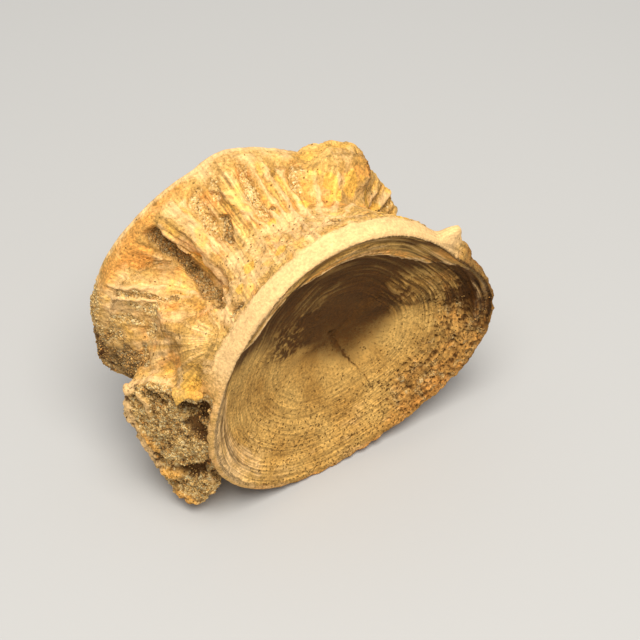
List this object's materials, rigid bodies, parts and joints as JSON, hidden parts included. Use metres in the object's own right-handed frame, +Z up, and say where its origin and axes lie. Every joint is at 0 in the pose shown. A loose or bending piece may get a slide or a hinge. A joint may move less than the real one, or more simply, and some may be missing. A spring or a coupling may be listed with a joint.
{
  "type": "fossil vertebra",
  "caption": "Fossil vertebra centrum lying on its side: short hourglass bone with hollow end faces, thick rims, ridged waist and the stump of a broken process.",
  "frame": {"origin": "on the surface it rests on, under the middle of its bounding box", "axes": "+Z up as the fossil rests; the centrum's axis runs along Y and the better preserved cup faces -Y; +X to the right when looking into that cup"},
  "size_m": [0.08, 0.036, 0.0715],
  "materials": {
    "fossil_bone": "dry mineralised bone, cream to orange tan, with cemented sandy phosphate grains"
  },
  "bodies": {
    "root": {"vertebra": "fossil_bone"}
  },
  "joints": []
}
